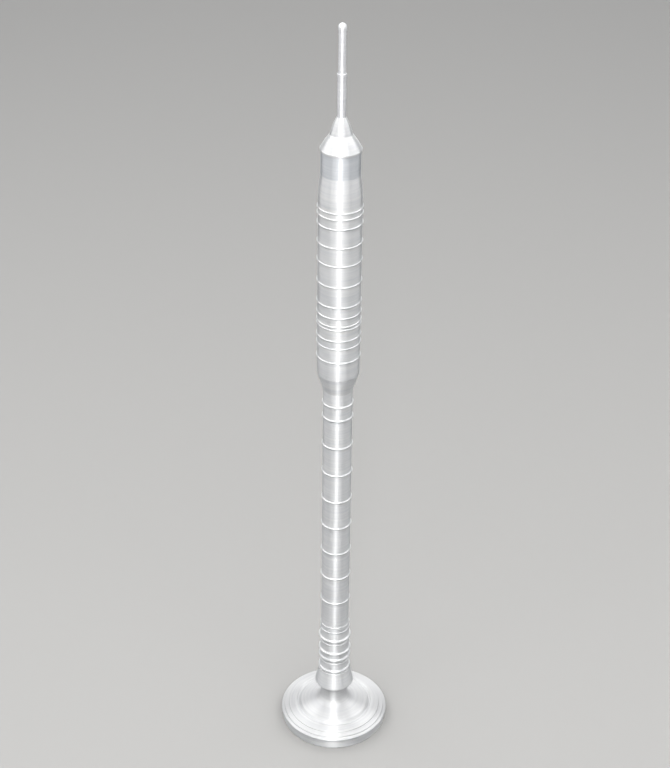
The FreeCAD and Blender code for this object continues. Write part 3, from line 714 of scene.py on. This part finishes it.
tube_floor, tube_top = floor_of("pin_sleeve"), top_of("pin_sleeve")
tube_section = [
    (TUBE_BORE, tube_floor, 0.05),
    (TUBE_FLANGE, tube_floor, 0.1),
    (TUBE_FLANGE, tube_floor + FLANGE_THICKNESS, 0.1),
    (TUBE_RADIUS, tube_floor + FLANGE_THICKNESS, 0.05),
    (TUBE_RADIUS, tube_top - MOUTH_LENGTH, 0.1),
    (TUBE_RADIUS + MOUTH_RISE, tube_top - MOUTH_LENGTH + MOUTH_RAMP, 0.1),
    (TUBE_RADIUS + MOUTH_RISE, tube_top, 0.2),
    (MOUTH_BORE, tube_top, 0.05),
    (MOUTH_BORE, tube_top - MOUTH_LENGTH, 0.05),
    (TUBE_BORE, tube_top - MOUTH_LENGTH, 0.05),
]
finished_piece("pin_tube", tube_section, "sleeve", polished_drawn_steel, "bright_steel", "pin_sleeve")
refinish("friction_sleeve", machined_brass)

rod_floor, rod_top = floor_of("pin_rod"), floor_of("pin_tip")
grip_floor, grip_top = floor_of("friction_sleeve") - GRIP_CLEARANCE, top_of("friction_sleeve")
rod_section = [
    (0, rod_floor, 0),
    (ROD_END, rod_floor, 0.1),
    (ROD_END, grip_floor, 0.05),
    (GRIP_SEAT, grip_floor, 0.02),
    (GRIP_SEAT, grip_top, 0.02),
    (ROD_RADIUS, grip_top, 0.04),
    (ROD_RADIUS, rod_top, 0.05),
    (TENON, rod_top, 0.05),
    (TENON, rod_top + TENON_LENGTH, 0.1),
    (0, rod_top + TENON_LENGTH, 0),
]
finished_piece("pin_inner_rod", rod_section, "pin", polished_drawn_steel, "bright_steel", "pin_rod")

tip_top = top_of("pin_tip")
tip_neck_end = rod_top + (tip_top - rod_top) / 3
dome_floor = tip_top - TIP_DOME
dome_radius = (TIP_WIDEST**2 + TIP_DOME**2) / (2 * TIP_DOME)
tip_section = [
    (TIP_BORE, rod_top, 0.05),
    (TIP_NECK, rod_top, 0.08),
    (TIP_NECK, tip_neck_end, 0.4),
    (TIP_WIDEST, tip_neck_end + TIP_RAMP, 0.4),
    (TIP_WIDEST, dome_floor, 0.3),
    *turned_arc((TIP_WIDEST, dome_floor), (0, tip_top), dome_radius, -1, 12),
    (0, tip_top, 0),
    (0, rod_top + TIP_BORE_DEPTH, 0),
    (TIP_BORE, rod_top + TIP_BORE_DEPTH, 0.1),
]
finished_piece("bullet_tip", tip_section, "pin", polished_drawn_steel, "bright_steel", "pin_tip")

# ---- Floor, light and camera ---------------------------------------------------------------------
# The mandrel stands on plain pale paper. A tall narrow light by the camera draws the bright line down the
# column. Broad soft ones in front, at both sides and behind fill the barrels and the disc. They hang near
# its top, and so the column darkens towards its foot.

FLOOR_SIZE = 6.0  # metres


def floor_paper(name, tone):
    """Matt pale paper for the floor."""
    paper = bpy.data.materials.new(name)
    paper.use_nodes = True
    shader = paper.node_tree.nodes["Principled BSDF"]
    shader.inputs["Base Color"].default_value = colour(tone)
    shader.inputs["Roughness"].default_value = 0.9
    return paper


floor_mesh = bpy.data.meshes.new("studio_floor")
quarters = ((-1, -1), (1, -1), (1, 1), (-1, 1))
floor_corners = [(x * FLOOR_SIZE / 2, y * FLOOR_SIZE / 2, 0) for x, y in quarters]
floor_mesh.from_pydata(floor_corners, [], [(0, 1, 2, 3)])
floor_mesh.materials.append(floor_paper("pale_paper", "#949391"))
floor = bpy.data.objects.new("studio_floor", floor_mesh)
bpy.context.scene.collection.objects.link(floor)
floor.visible_glossy = False  # the metal's undersides stay as dark as over a dark bench


def studio_light(name, azimuth, elevation, distance, width, height, power, aim_height):
    """A rectangular light aimed at the column, in degrees, metres and watts; the camera is at azimuth 0."""
    lamp = bpy.data.lights.new(name, "AREA")
    lamp.shape = "RECTANGLE"
    lamp.size, lamp.size_y = width, height
    lamp.energy = power
    light = bpy.data.objects.new(name, lamp)
    around, above = math.radians(azimuth), math.radians(elevation)
    aim = Vector((0, 0, aim_height))
    away = Vector((math.sin(around) * math.cos(above), -math.cos(around) * math.cos(above), math.sin(above)))
    light.location = aim + away * distance
    light.rotation_euler = away.to_track_quat("Z", "Y").to_euler()
    light.visible_camera = False
    bpy.context.scene.collection.objects.link(light)


studio_light("line_light", -1.5, 34, 0.68, 0.06, 0.5, 1.15, 0.27)
studio_light("front_fill", -3, 37, 0.8, 0.6, 0.6, 1.5, 0.25)
studio_light("high_fill", -2, 46, 0.75, 1.3, 0.5, 7.2, 0.3)
studio_light("near_fill", -2, 44, 0.42, 0.8, 0.3, 0.8, 0.31)
studio_light("left_fill", -92, 34, 0.8, 1.1, 0.7, 5.4, 0.31)
studio_light("right_fill", 90, 34, 0.8, 1.1, 0.7, 4.8, 0.31)
studio_light("back_fill", 180, 44, 1.4, 2.2, 1.9, 14.0, 0.1)

# The air is bright overhead and dim below the horizon, as under a white ceiling.
AIR_BELOW = 0.08
AIR_OVERHEAD = 0.4
AIR_DIM_UNTIL = -0.25  # share of straight up
AIR_BRIGHT_FROM = 0.4

world = bpy.data.worlds.new("studio_air")
world.use_nodes = True
air = world.node_tree
direction = add(air, "ShaderNodeTexCoord").outputs["Generated"]
upwards = add(air, "ShaderNodeSeparateXYZ", {0: direction}).outputs[2]
sockets = {0: upwards, 1: AIR_DIM_UNTIL, 2: AIR_BRIGHT_FROM, 3: AIR_BELOW, 4: AIR_OVERHEAD}
glow = add(air, "ShaderNodeMapRange", sockets, interpolation_type="SMOOTHSTEP")
background = air.nodes["Background"]
background.inputs["Color"].default_value = colour("#F4F7FC")
air.links.new(glow.outputs[0], background.inputs["Strength"])
bpy.context.scene.world = world
bpy.context.scene.view_settings.view_transform = "Standard"

CAMERA_BACK = 0.5552
CAMERA_UP = 0.5244
LOOK_DOWN = math.radians(31.90)
LOOK_ASIDE = math.radians(-0.123)
LEAN = math.radians(-0.68)
SENSOR_WIDTH = 36
FOCAL_LENGTH = 75.75

camera_data = bpy.data.cameras.new("camera")
camera_data.sensor_width = SENSOR_WIDTH
camera_data.lens = FOCAL_LENGTH
camera = bpy.data.objects.new("camera", camera_data)
forward = Vector(
    (
        math.sin(LOOK_ASIDE) * math.cos(LOOK_DOWN),
        math.cos(LOOK_ASIDE) * math.cos(LOOK_DOWN),
        -math.sin(LOOK_DOWN),
    )
)
level = Vector((math.cos(LOOK_ASIDE), -math.sin(LOOK_ASIDE), 0))
below = forward.cross(level)
right = level * math.cos(LEAN) + below * math.sin(LEAN)
down = below * math.cos(LEAN) - level * math.sin(LEAN)
aimed = Matrix((right, -down, -forward)).transposed()
camera.matrix_world = Matrix.Translation((0, -CAMERA_BACK, CAMERA_UP)) @ aimed.to_4x4()
bpy.context.scene.collection.objects.link(camera)
bpy.context.scene.camera = camera
